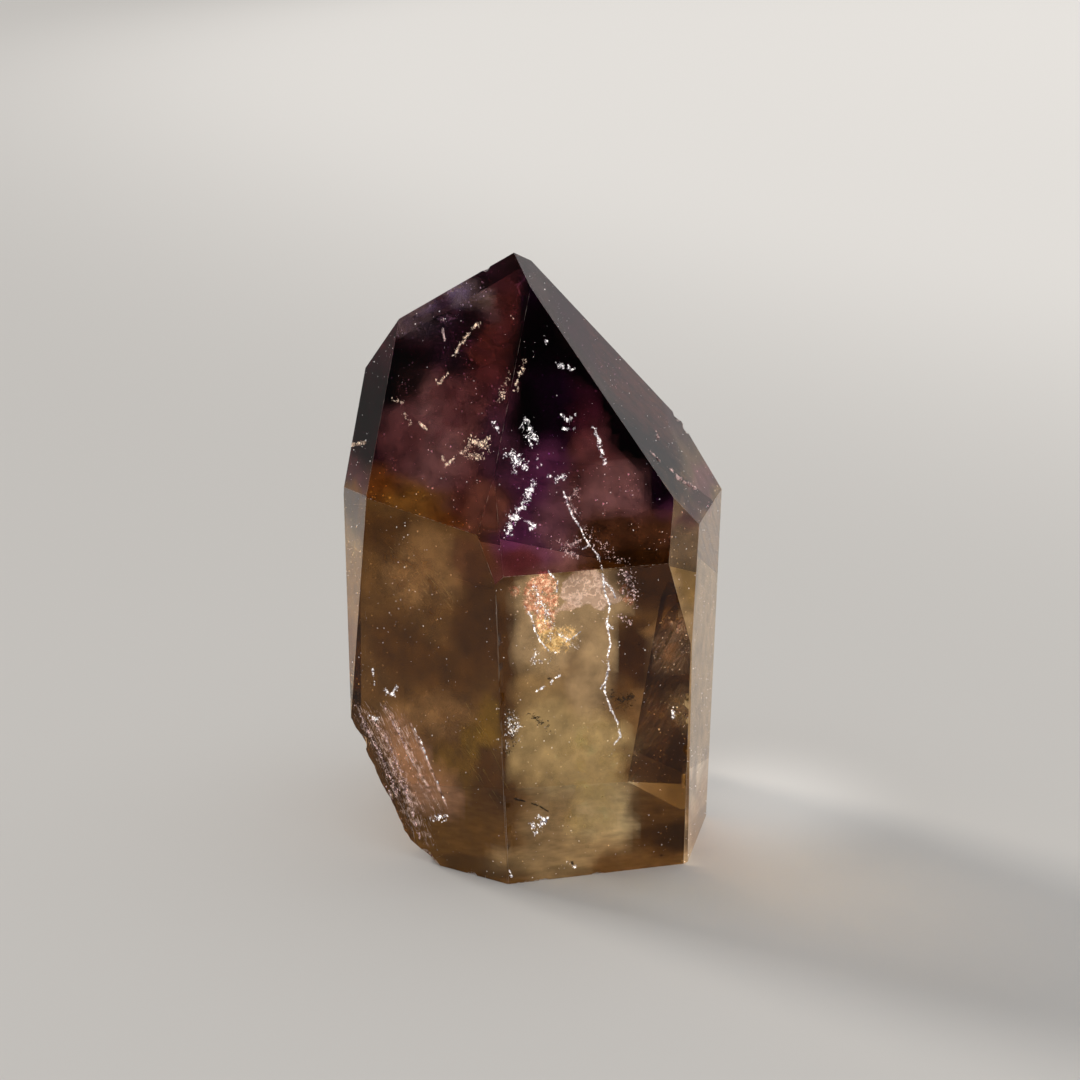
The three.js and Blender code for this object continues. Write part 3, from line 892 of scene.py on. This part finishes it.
# %% Silk on the rough flank and below it
FLANK_SILK = [
    ([(356, 700), (370, 733), (384, 762), (402, 800), (410, 822)], 0.3, 1.1),
    ([(368, 706), (384, 736), (398, 768), (412, 800), (419, 826)], 0.3, 1.3),
    ([(384, 704), (402, 735), (416, 765), (430, 790)], 0.3, 0.7),
    ([(398, 770), (412, 800), (424, 830), (428, 838)], 0.3, 1.2),
    ([(410, 722), (424, 752), (438, 784), (445, 800)], 0.3, 0.25),
    ([(394, 712), (408, 744), (424, 780), (438, 812)], 0.3, 1.6),
    ([(374, 716), (392, 756), (408, 796), (419, 822)], 0.3, 1.6),
]
OLIVE_SILK = [
    ([(466, 708), (480, 728), (494, 752)], 0.3, 1.4),
    ([(462, 736), (478, 760), (496, 790)], 0.3, 1.6),
    ([(395, 545), (420, 570), (445, 600)], 0.3, 2.0),
]
silk_white = glinting("silk_white", "5C4034", "EED4C8", 0.55, patch=0.8)
silk_olive = glinting("silk_olive", "6E5A28", "B49A54", 0.25, patch=1.2)
for label, trails, film, copies, length in (("flank_silk", FLANK_SILK, silk_white, 5, 2.0),
                                            ("olive_silk", OLIVE_SILK, silk_olive, 1, 3.0)):
    applied(label, trail_mesh(label, trails), silk_tree, Spacing=0.25 * MM, Copies=copies,
            Length=length * MM, Thickness=0.024 * MM, Seed=12, Stone=stone, Material=film)

# %% Flecks of the body
BODY_WHITE = [
    ([(546, 684), (552, 678), (559, 674)], 1.2, 0.3),
    ([(535, 690), (546, 683)], 1.2, 0.1),
    ([(533, 818), (540, 826), (536, 832), (532, 824)], 1.0, 0.7),
    ([(530, 822), (538, 832)], 0.8, 0.6),
    ([(537, 815), (545, 819), (540, 824)], 0.8, 0.5),
    ([(542, 820), (552, 813)], 1.0, 0.2),
    ([(349, 660), (361, 669)], 0.8, 0.5),
    ([(374, 668), (376, 682)], 0.8, 0.35),
    ([(385, 688), (394, 694), (398, 686)], 0.8, 0.6),
    ([(436, 818), (444, 814), (450, 816)], 1.6, 0.9),
    ([(444, 797), (439, 782), (429, 760), (421, 738), (412, 722)], 0.5, 0.1),
    ([(372, 715), (379, 719)], 0.7, 0.6),
    ([(508, 870), (512, 878)], 0.6, 0.2),
    ([(566, 862), (574, 866)], 0.8, 0.5),
    ([(671, 706), (672, 716)], 1.0, 0.25),
]
SPARKLE = [([(506, 712), (513, 725), (506, 745)], 0.8, 1.5), ([(512, 718), (518, 726)], 0.8, 1.0)]
FLANK = [
    ([(358, 706), (372, 735), (385, 760), (400, 795)], 0.9, 0.6),
    ([(372, 716), (388, 738), (402, 770), (413, 800)], 0.9, 0.7),
    ([(386, 705), (402, 735), (416, 765)], 0.9, 0.25),
    ([(392, 762), (408, 792), (420, 830), (428, 852)], 0.9, 0.4),
    ([(380, 770), (398, 808), (410, 838)], 0.9, 0.3),
]
DARK = [
    ([(528, 712), (538, 720), (548, 728)], 0.5, 0.8),
    ([(546, 677), (550, 679)], 0.5, 0.3),
    ([(569, 861), (572, 863)], 0.5, 0.3),
    ([(507, 708), (514, 730), (507, 752)], 0.5, 1.2),
    ([(514, 798), (526, 801), (538, 805), (548, 811)], 0.5, 0.05),
    ([(604, 694), (622, 700), (636, 696)], 0.5, 0.7),
]
goethite = glinting("goethite_specks", "140E08", "4A3620", 0.05)
fill["Curls"] = 0.25
strew("body_flecks_white", BODY_WHITE, white_film, 0.24)
strew("body_sparkle", SPARKLE, white_film, 0.2)
strew("dark_specks", DARK, goethite, 0.2)
strew("flank_glints", FLANK, rose_film, 0.2)

# %% [markdown]
# ## Sheets inside the stone
# A crack, a growth plate and a milky veil are all thin sheets. Each is drawn as an outline in the
# frame, filled with a fine grid and laid at a depth that ripples. Noise gnaws at the outline, since
# nothing that grew has a clean cut edge. A second skin closes the sheet, so that it is a solid and
# not a film with no thickness. The distance from the rim is stored for the material, which fades
# a veil out towards it.

# %% Helper: a gnawed sheet
SHEET_THICKNESS = 0.05 * MM
BITE_GRAIN = 9  # frame points from one bite in the outline to the next
RIPPLE_GRAIN = 22  # frame points from one ripple to the next
SHALLOWEST = 0.2  # mm that a ripple may come up to beneath the facet


def rim_distance(place, outline):
    """Distance of a frame point from the outline, negative outside it."""
    inside, nearest = False, math.inf
    for start, end in zip(outline, outline[1:] + outline[:1]):
        a, b = Vector(start), Vector(end)
        along = max(0.0, min(1.0, (place - a).dot(b - a) / (b - a).length_squared))
        nearest = min(nearest, (a + (b - a) * along - place).length)
        if (a.y > place.y) != (b.y > place.y):
            if place.x < a.x + (b.x - a.x) * (place.y - a.y) / (b.y - a.y):
                inside = not inside
    return nearest if inside else -nearest


def closed_sheet(name, bm, material):
    """Makes a piece of an open sheet. It gets a second skin, and its faces point outwards."""
    bmesh.ops.solidify(bm, geom=bm.faces[:], thickness=SHEET_THICKNESS)
    bmesh.ops.recalc_face_normals(bm, faces=bm.faces)
    mesh = bpy.data.meshes.new(name)
    bm.to_mesh(mesh)
    bm.free()
    mesh.materials.append(material)
    ridden(name, mesh)


def sheet(name, outline, depth, ripple, material, grid=2.2, gnaw=3.0, fade=7.0):
    """A thin sheet inside the stone. depth and ripple are in mm, the rest in frame points."""
    bm = bmesh.new()
    fades = bm.verts.layers.float.new("fade")
    left, right = min(u for u, _ in outline), max(u for u, _ in outline)
    top, bottom = min(v for _, v in outline), max(v for _, v in outline)
    columns, rows = int((right - left) / grid) + 1, int((bottom - top) / grid) + 1
    corners = {}
    for i in range(columns + 1):
        for j in range(rows + 1):
            u, v = left + i * grid, top + j * grid
            bite = noise.noise_vector(Vector((u / BITE_GRAIN, v / BITE_GRAIN, depth))) * gnaw
            inset = rim_distance(Vector((u + bite.x, v + bite.y)), outline)
            crest = Vector((u / RIPPLE_GRAIN, v / RIPPLE_GRAIN, depth * 3))
            wave = noise.fractal(crest, 1.0, 2.0, 4) * ripple
            place = seen(u, v, max(SHALLOWEST, depth + wave)) if inset > 0 else None
            if place:
                corners[i, j] = bm.verts.new(place)
                corners[i, j][fades] = min(1.0, inset / fade)
    for i in range(columns):
        for j in range(rows):
            quad = [corners.get(key) for key in ((i, j), (i, j + 1), (i + 1, j + 1), (i + 1, j))]
            if all(quad):
                bm.faces.new(quad)
    bmesh.ops.delete(bm, geom=[vert for vert in bm.verts if not vert.link_faces], context="VERTS")
    closed_sheet(name, bm, material)


print("sheets can be drawn")

# %% Film material
def clouded(name, pale, deep, most, glow, grain, ridge=False):
    """A thin pale film: its colour and cover change over grain mm. Ridges draw veins instead."""
    material, tree = new_material(name)
    place = add(tree, "ShaderNodeTexCoord").outputs["Object"]
    change = add(tree, "ShaderNodeTexNoise", {
        "Vector": place, "Scale": 1 / (grain * MM), "Detail": 6.0, "Roughness": 0.62,
        "Distortion": 0.4})
    if ridge:
        away = add(tree, "ShaderNodeMath", {0: change, 1: 0.5}, operation="SUBTRACT")
        away = add(tree, "ShaderNodeMath", {0: away}, operation="ABSOLUTE")
        limits = {"Value": away, "From Min": 0.05, "From Max": 0.0, "To Min": 0.5}
    else:
        limits = {"Value": change, "From Min": 0.4, "From Max": 0.68}
    share = add(tree, "ShaderNodeMapRange", limits)
    fade = add(tree, "ShaderNodeAttribute", attribute_name="fade").outputs["Fac"]
    cover = add(tree, "ShaderNodeMath", {0: share, 1: fade}, operation="MULTIPLY")
    cover = add(tree, "ShaderNodeMath", {0: cover, 1: most}, operation="MULTIPLY")
    colour = add(tree, "ShaderNodeMix", {0: share, 6: linear(deep), 7: linear(pale)},
                 data_type="RGBA").outputs[2]
    # its glow is painted light, so that the film shows in the dim inside of the stone
    end_glowing(tree, colour, 0.6, glow, Alpha=cover)
    return material


print("films can be mixed")

# %% [markdown]
# ## The growth plate and the fracture
# Beside the tuft stands a pinkish plate with bright veins. From it a fracture runs down through the
# lower half of the stone. It is a wall that goes inwards, and from the front only its lit rim
# shows, as a jagged white line. So it is built as a wall: the rim is a list of frame points, and
# each step inwards wanders a little. Seen from the side the same wall is a faint curtain.

# %% Plate
PLATE = [(559, 596), (561, 584), (568, 575), (576, 569), (585, 566), (595, 567), (604, 573),
         (611, 584), (620, 592), (626, 600), (617, 606), (608, 604), (606, 612), (597, 611),
         (589, 605), (580, 608), (568, 604)]
PLATE_TAIL = [(556, 606), (572, 598), (584, 604), (574, 612), (562, 612), (555, 618), (550, 612)]
plate_film = clouded("pinkish_growth_film", "FFF6FC", "BCA4A8", 0.8, 0.42, 1.6, ridge=True)
sheet("growth_plate", PLATE, 1.4, 0.6, plate_film, grid=1.6, fade=3.0)
sheet("growth_plate_tail", PLATE_TAIL, 2.6, 0.8, plate_film, grid=1.6, fade=4.0)

# %% Fracture wall
RIM = [(563, 492), (566, 499), (568, 508), (573, 518), (579, 526), (583, 536), (589, 545),
       (597, 555), (601, 565), (603, 580), (604, 592), (609, 604), (608, 614), (606, 622),
       (608, 632), (610, 645), (607, 656), (608, 668), (605, 680), (604, 690), (607, 700),
       (612, 712), (617, 722), (620, 736), (614, 743)]

WALL_DEPTHS = [0.35, 0.9, 1.6, 2.4, 3.4, 4.5, 5.6]  # mm inwards
WALL_WANDER = 5.0  # frame points that the wall strays by at its deepest
WANDER_GRAIN = 14  # frame points from one bend of the wall to the next
INNER_FADE = 0.85  # share of its cover that the wall loses on the way inwards
bm = bmesh.new()
fades = bm.verts.layers.float.new("fade")
rows = []
for step, depth in enumerate(WALL_DEPTHS):
    inward = step / (len(WALL_DEPTHS) - 1)
    row = []
    for u, v in RIM:
        bend = Vector((u / WANDER_GRAIN, v / WANDER_GRAIN, depth / 2))
        stray = noise.noise_vector(bend) * WALL_WANDER * inward
        vert = bm.verts.new(seen(u + stray.x, v + stray.y, depth))
        vert[fades] = 1.0 - INNER_FADE * inward
        row.append(vert)
    rows.append(row)
for near, far in zip(rows, rows[1:]):
    for k in range(len(RIM) - 1):
        bm.faces.new((near[k], near[k + 1], far[k + 1], far[k]))
closed_sheet("fracture_wall", bm,
             clouded("gas_film_on_fracture", "FFF6EC", "C8B090", 0.6, 0.25, 1.4))

# %% Crumbs on the fracture and the plate
RIM_TRAIL = [
    (RIM[:8], 0.5, 0.16), (RIM[7:], 0.5, 0.22),
    ([(589, 545), (582, 549)], 0.5, 0.12), ([(603, 580), (612, 590), (615, 598)], 0.5, 0.2),
    ([(606, 622), (612, 628)], 0.5, 0.12), ([(605, 680), (600, 688)], 0.5, 0.1),
]
PLATE_TRAILS = [
    ([(574, 582), (586, 572), (598, 571)], 2.0, 0.4),
    ([(577, 603), (588, 590), (600, 582)], 2.0, 0.3),
    ([(592, 570), (600, 584), (607, 600)], 2.0, 0.4),
]
CRUMBLE = [
    ([(618, 560), (627, 575), (634, 590)], 1.6, 1.5),
    ([(622, 570), (630, 600)], 1.6, 1.6),
    ([(628, 590), (632, 610)], 1.6, 1.0),
    ([(616, 614), (630, 622)], 1.6, 0.8),
    ([(575, 490), (566, 500), (574, 512)], 1.8, 0.8),
    ([(583, 528), (600, 545), (612, 556)], 1.6, 1.2),
]
grey_film = glinting("gas_film_grey", "5E5A50", "C9C2AE", 0.35)
GREY = [([(612, 692), (622, 700), (634, 694)], 1.4, 1.0), ([(615, 706), (630, 708)], 1.4, 0.8)]
fill.update(Spacing=0.09 * MM, Copies=6, Curls=0.1)
strew("fracture_rim", RIM_TRAIL, white_film, 0.2, Gaps=0.42)
strew("plate_glints", PLATE_TRAILS, white_film, 0.2, Gaps=0.5, Open=False)
strew("plate_crumble", CRUMBLE, rose_film, 0.26, Gaps=0.5)
strew("grey_streaks", GREY, grey_film, 0.3, Gaps=0.48, Open=False)

# %% [markdown]
# ## The cacoxenite tuft
# Cacoxenite grows as radiating sprays of golden and orange needles. Geometry Nodes do that in one
# go: scatter seeds through the tuft, give each some dozen directions, and put a needle on each. A
# needle is a cone with three sides, the least that has a thickness. The tuft's outline is drawn in
# the frame, as the plate's is.

# %% Geometry Nodes: needles from seeds
needle_tree, given, out = node_tree("needle_sprays", {
    "Needles": "Int", "Length": "Float", "Thickness": "Float"})
tree = needle_tree
seeds = add(tree, "GeometryNodeMeshToPoints", {0: given["Geometry"]})
each = add(tree, "GeometryNodeDuplicateElements", {0: seeds, "Amount": given["Needles"]},
           domain="POINT")
heading = add(tree, "FunctionNodeRandomValue", {**ANY_WAY, "Seed": given["Seed"]},
              data_type="FLOAT_VECTOR")
turned = add(tree, "FunctionNodeAlignRotationToVector", {"Vector": heading}, axis="Z")
needle = add(tree, "GeometryNodeMeshCone", {
    "Vertices": 3, "Radius Top": 0.0, "Radius Bottom": given["Thickness"],
    "Depth": given["Length"]})
long = add(tree, "FunctionNodeRandomValue", {2: 0.35, 3: 1.0, "Seed": 4}, data_type="FLOAT")
placed = add(tree, "GeometryNodeInstanceOnPoints", {
    "Points": each, "Instance": needle, "Rotation": turned, "Scale": long.outputs[1]})
end_tree(tree, placed, given, out)

# %% Needle material
def needles(name, stops, glow, patch):
    """Silky needles whose colour runs through the stops over patch mm, and glows with it as painted
    light.
    """
    material, tree = new_material(name)
    place = add(tree, "ShaderNodeTexCoord").outputs["Object"]
    change = add(tree, "ShaderNodeTexNoise", {"Vector": place, "Scale": 1 / (patch * MM),
                                              "Detail": 5.0, "Roughness": 0.7})
    ramp = add(tree, "ShaderNodeValToRGB", {0: change})
    while len(ramp.color_ramp.elements) < len(stops):
        ramp.color_ramp.elements.new(0.5)
    for stop, (at, colour) in zip(ramp.color_ramp.elements, stops):
        stop.position = at
        stop.color = linear(colour)
    end_glowing(tree, ramp, 0.4, glow)
    return material


orange_needles = needles("cacoxenite_orange", [
    (0.34, "7E4E3E"), (0.43, "AE7660"), (0.5, "CCA08E"), (0.55, "F0D8CE"), (0.6, "FFFFFF")],
    0.66, 0.6)
yellow_needles = needles("cacoxenite_yellow", [
    (0.34, "7E6846"), (0.45, "B29664"), (0.53, "D8C494"), (0.6, "FFFFEC")], 0.64, 0.6)
pale_needles = needles("cacoxenite_pale", [
    (0.35, "8E7A54"), (0.5, "CBB890"), (0.65, "FFF8EA")], 0.7, 0.8)
print("needles:", orange_needles.name, yellow_needles.name, pale_needles.name)

# %% Tufts
NEEDLES_PER_SEED = 26
NEEDLE_THICKNESS = 0.045 * MM
TUFTS = [
    # name, outline, seeds, depths in mm, needle length in mm, material
    ("tuft_orange", [(538, 574), (547, 572), (556, 580), (557, 600), (553, 622), (548, 634),
                     (540, 632), (534, 618), (526, 608), (524, 594), (528, 582)],
     150, (0.6, 2.6), 1.0, orange_needles),
    ("tuft_yellow", [(538, 618), (552, 620), (560, 634), (566, 640), (558, 652), (545, 650),
                     (538, 636)], 80, (0.6, 2.2), 0.9, yellow_needles),
    ("tuft_fringe", [(552, 632), (568, 626), (580, 632), (574, 640), (570, 652), (556, 655)],
     34, (0.6, 1.8), 1.0, pale_needles),
    ("tuft_speck", [(510, 588), (518, 586), (519, 594), (512, 597)],
     10, (1.0, 1.6), 0.7, orange_needles),
    ("plate_needles", [(618, 582), (630, 584), (636, 598), (630, 606), (620, 596)],
     26, (1.4, 2.6), 0.7, orange_needles),
]
for name, outline, count, (shallow, deep), length, film in TUFTS:
    dice = random.Random(name)
    places = []
    while len(places) < count:
        u = dice.uniform(min(p[0] for p in outline), max(p[0] for p in outline))
        v = dice.uniform(min(p[1] for p in outline), max(p[1] for p in outline))
        if rim_distance(Vector((u, v)), outline) > 0:
            places.append(seen(u, v, dice.uniform(shallow, deep)))
    seeds_mesh = bpy.data.meshes.new(name)
    seeds_mesh.from_pydata(places, [], [])
    applied(name, seeds_mesh, needle_tree, Needles=NEEDLES_PER_SEED, Length=length * MM,
            Thickness=NEEDLE_THICKNESS, Seed=7, Material=film)

# %% Pale rims of the tuft, whose crumbs glow as painted sparkles along its edge
TUFT_RIM_SPARKLES = [
    ([(525, 606), (531, 617), (534, 629), (540, 641)], 0.5, 0.22),
    ([(540, 641), (548, 650), (556, 652)], 0.5, 0.2),
    ([(565, 641), (573, 637), (580, 631)], 0.5, 0.15),
    ([(548, 572), (557, 580), (556, 592)], 0.5, 0.2),
    ([(540, 600), (546, 612), (544, 622)], 0.5, 0.3),
    ([(532, 584), (538, 596), (536, 612)], 0.5, 0.7),
    ([(545, 606), (551, 622), (550, 640)], 0.5, 0.7),
    ([(558, 634), (570, 640), (576, 648)], 0.5, 0.7),
    ([(536, 650), (532, 662), (548, 660)], 0.5, 0.5),
]
# the white film's glow paints the sparkles of light on the tuft's rims
strew("tuft_rim", TUFT_RIM_SPARKLES, white_film, 0.17, Gaps=0.45)

# %% [markdown]
# ## Milky veils
# Healed fractures and growth zones hang in the stone as faint curtains. They are what makes it look
# like a grown thing and not like cast glass. Each is a rippled sheet that never covers fully and
# fades out to its rim.

# %% Veils
VEILS = [
    # name, outline, depth, ripple, pale, deep, most cover, glow, grain
    ("veil_under_tuft",
     [(528, 638), (545, 645), (560, 656), (562, 676), (550, 690), (536, 680), (528, 660)],
     3.2, 1.2, "EADFC4", "A8926A", 0.5, 0.12, 1.6),
    ("veil_crown_fog",
     [(400, 318), (425, 296), (470, 272), (482, 290), (470, 320), (448, 340), (420, 346),
      (398, 350)], 1.6, 0.8, "B8A8B8", "5A4458", 0.6, 0.14, 3.0),
    ("veil_crown_rose",
     [(400, 400), (450, 370), (490, 380), (488, 420), (470, 450), (430, 450), (400, 430)],
     3.0, 1.5, "B07A70", "70403C", 0.35, 0.06, 4.0),
    ("veil_left_cloud",
     [(372, 545), (400, 530), (440, 560), (455, 600), (430, 640), (395, 610), (368, 580)],
     3.5, 1.5, "E8CFAE", "A07C50", 0.5, 0.10, 3.2),
    ("veil_left_lower",
     [(400, 690), (440, 680), (480, 700), (490, 750), (470, 780), (430, 760), (405, 730)],
     4.0, 1.5, "D8BC80", "8A6A34", 0.35, 0.06, 3.2),
    ("veil_right_centre",
     [(575, 715), (600, 700), (622, 720), (640, 770), (620, 830), (580, 850), (545, 820),
      (550, 760)], 5.0, 1.8, "F0E2B4", "B49C60", 0.4, 0.10, 3.6),
    ("veil_right_patch", [(650, 632), (684, 630), (684, 668), (662, 672), (648, 655)],
     2.0, 0.8, "D8A878", "8A5C34", 0.5, 0.08, 2.4),
    ("veil_right_lower", [(655, 690), (684, 684), (684, 730), (668, 742), (652, 720)],
     2.0, 0.8, "D0A870", "8A6638", 0.5, 0.08, 2.4),
]
for name, outline, depth, ripple, *look in VEILS:
    film = clouded(name + "_film", *look)
    sheet(name, outline, depth, ripple, film, grid=4.0, gnaw=8.0, fade=16.0)

# %% [markdown]
# ## Dust
# Between the groups the stone is full of single specks. They are strewn over the facets and pushed
# inwards. A ray through the stone at each point says how much room there is, so that no speck
# comes out on the far side. A noise makes them gather in drifts. The foot gets none, so that it
# stands flat.

# %% Geometry Nodes: dust beneath the facets
DRIFT = 7 * MM  # size of a drift of dust
START = 0.05 * MM  # how far beneath the facet the ray that measures the room starts
LONGEST = 0.2  # m, longer than any way through the stone
USABLE = 0.8  # share of the room that a speck may go in
RARE = 3.0  # the higher, the rarer a large speck

dust_tree, given, out = node_tree("dust_beneath_facets", {
    "Density": "Float", "Shallowest": "Float", "Deepest": "Float", "Speck": "Float"})
tree = dust_tree
here = add(tree, "GeometryNodeInputPosition")
drift = add(tree, "ShaderNodeTexNoise", {"Vector": here, "Scale": 1 / DRIFT, "Detail": 3.0})
thick = add(tree, "ShaderNodeMapRange", {"Value": drift, "From Min": 0.42, "From Max": 0.7})
wanted = add(tree, "ShaderNodeMath", {0: thick, 1: given["Density"]}, operation="MULTIPLY")
on_foot = add(tree, "GeometryNodeInputNamedAttribute", {"Name": "foot"}, data_type="FLOAT")
off_foot = add(tree, "ShaderNodeMath", {0: 1.0, 1: on_foot}, operation="SUBTRACT")
density = add(tree, "ShaderNodeMath", {0: wanted, 1: off_foot}, operation="MULTIPLY")
points = add(tree, "GeometryNodeDistributePointsOnFaces", {
    "Mesh": given["Geometry"], "Density": density, "Seed": given["Seed"]})
inwards = add(tree, "ShaderNodeVectorMath", {0: points.outputs["Normal"], "Scale": -1.0},
              operation="SCALE")
skin = add(tree, "ShaderNodeVectorMath", {0: inwards, "Scale": START}, operation="SCALE")
start = add(tree, "ShaderNodeVectorMath", {0: here, 1: skin}, operation="ADD")
room = add(tree, "GeometryNodeRaycast", {
    "Target Geometry": given["Geometry"], "Source Position": start, "Ray Direction": inwards,
    "Ray Length": LONGEST}).outputs["Hit Distance"]
wish = add(tree, "FunctionNodeRandomValue",
           {2: given["Shallowest"], 3: given["Deepest"], "Seed": 17}, data_type="FLOAT")
most = add(tree, "ShaderNodeMath", {0: room, 1: USABLE}, operation="MULTIPLY")
depth = add(tree, "ShaderNodeMath", {0: wish.outputs[1], 1: most}, operation="MINIMUM")
push = add(tree, "ShaderNodeVectorMath", {0: inwards, "Scale": depth}, operation="SCALE")
sunk = add(tree, "GeometryNodeSetPosition", {0: points, "Offset": push})
speck = add(tree, "GeometryNodeMeshCone", {"Vertices": 4, "Radius Bottom": 0.5, "Depth": 0.8})
turn = add(tree, "FunctionNodeRandomValue", {**FULL_TURN, "Seed": 5}, data_type="FLOAT_VECTOR")
odds = add(tree, "FunctionNodeRandomValue", {2: 0.35, 3: 1.15, "Seed": 9}, data_type="FLOAT")
small = add(tree, "ShaderNodeMath", {0: odds.outputs[1], 1: RARE}, operation="POWER")
size = add(tree, "ShaderNodeMath", {0: small, 1: given["Speck"]}, operation="MULTIPLY")
placed = add(tree, "GeometryNodeInstanceOnPoints", {
    "Points": sunk, "Instance": speck, "Rotation": turn, "Scale": size})
end_tree(tree, placed, given, out)

# %% Dust
# name, specks per square metre, least and greatest depth in mm, size of a speck in mm
for name, density, shallowest, deepest, speck in (("dust_within", 3.2e5, 0.4, 7.0, 0.26),
                                                  ("dust_at_facets", 9e5, 0.0, 0.02, 0.13)):
    # the specks wear the white film, so they glow with its painted light
    applied(name, stone_mesh.copy(), dust_tree, Density=density, Shallowest=shallowest * MM,
            Deepest=deepest * MM, Speck=speck * MM, Seed=2, Material=white_film)
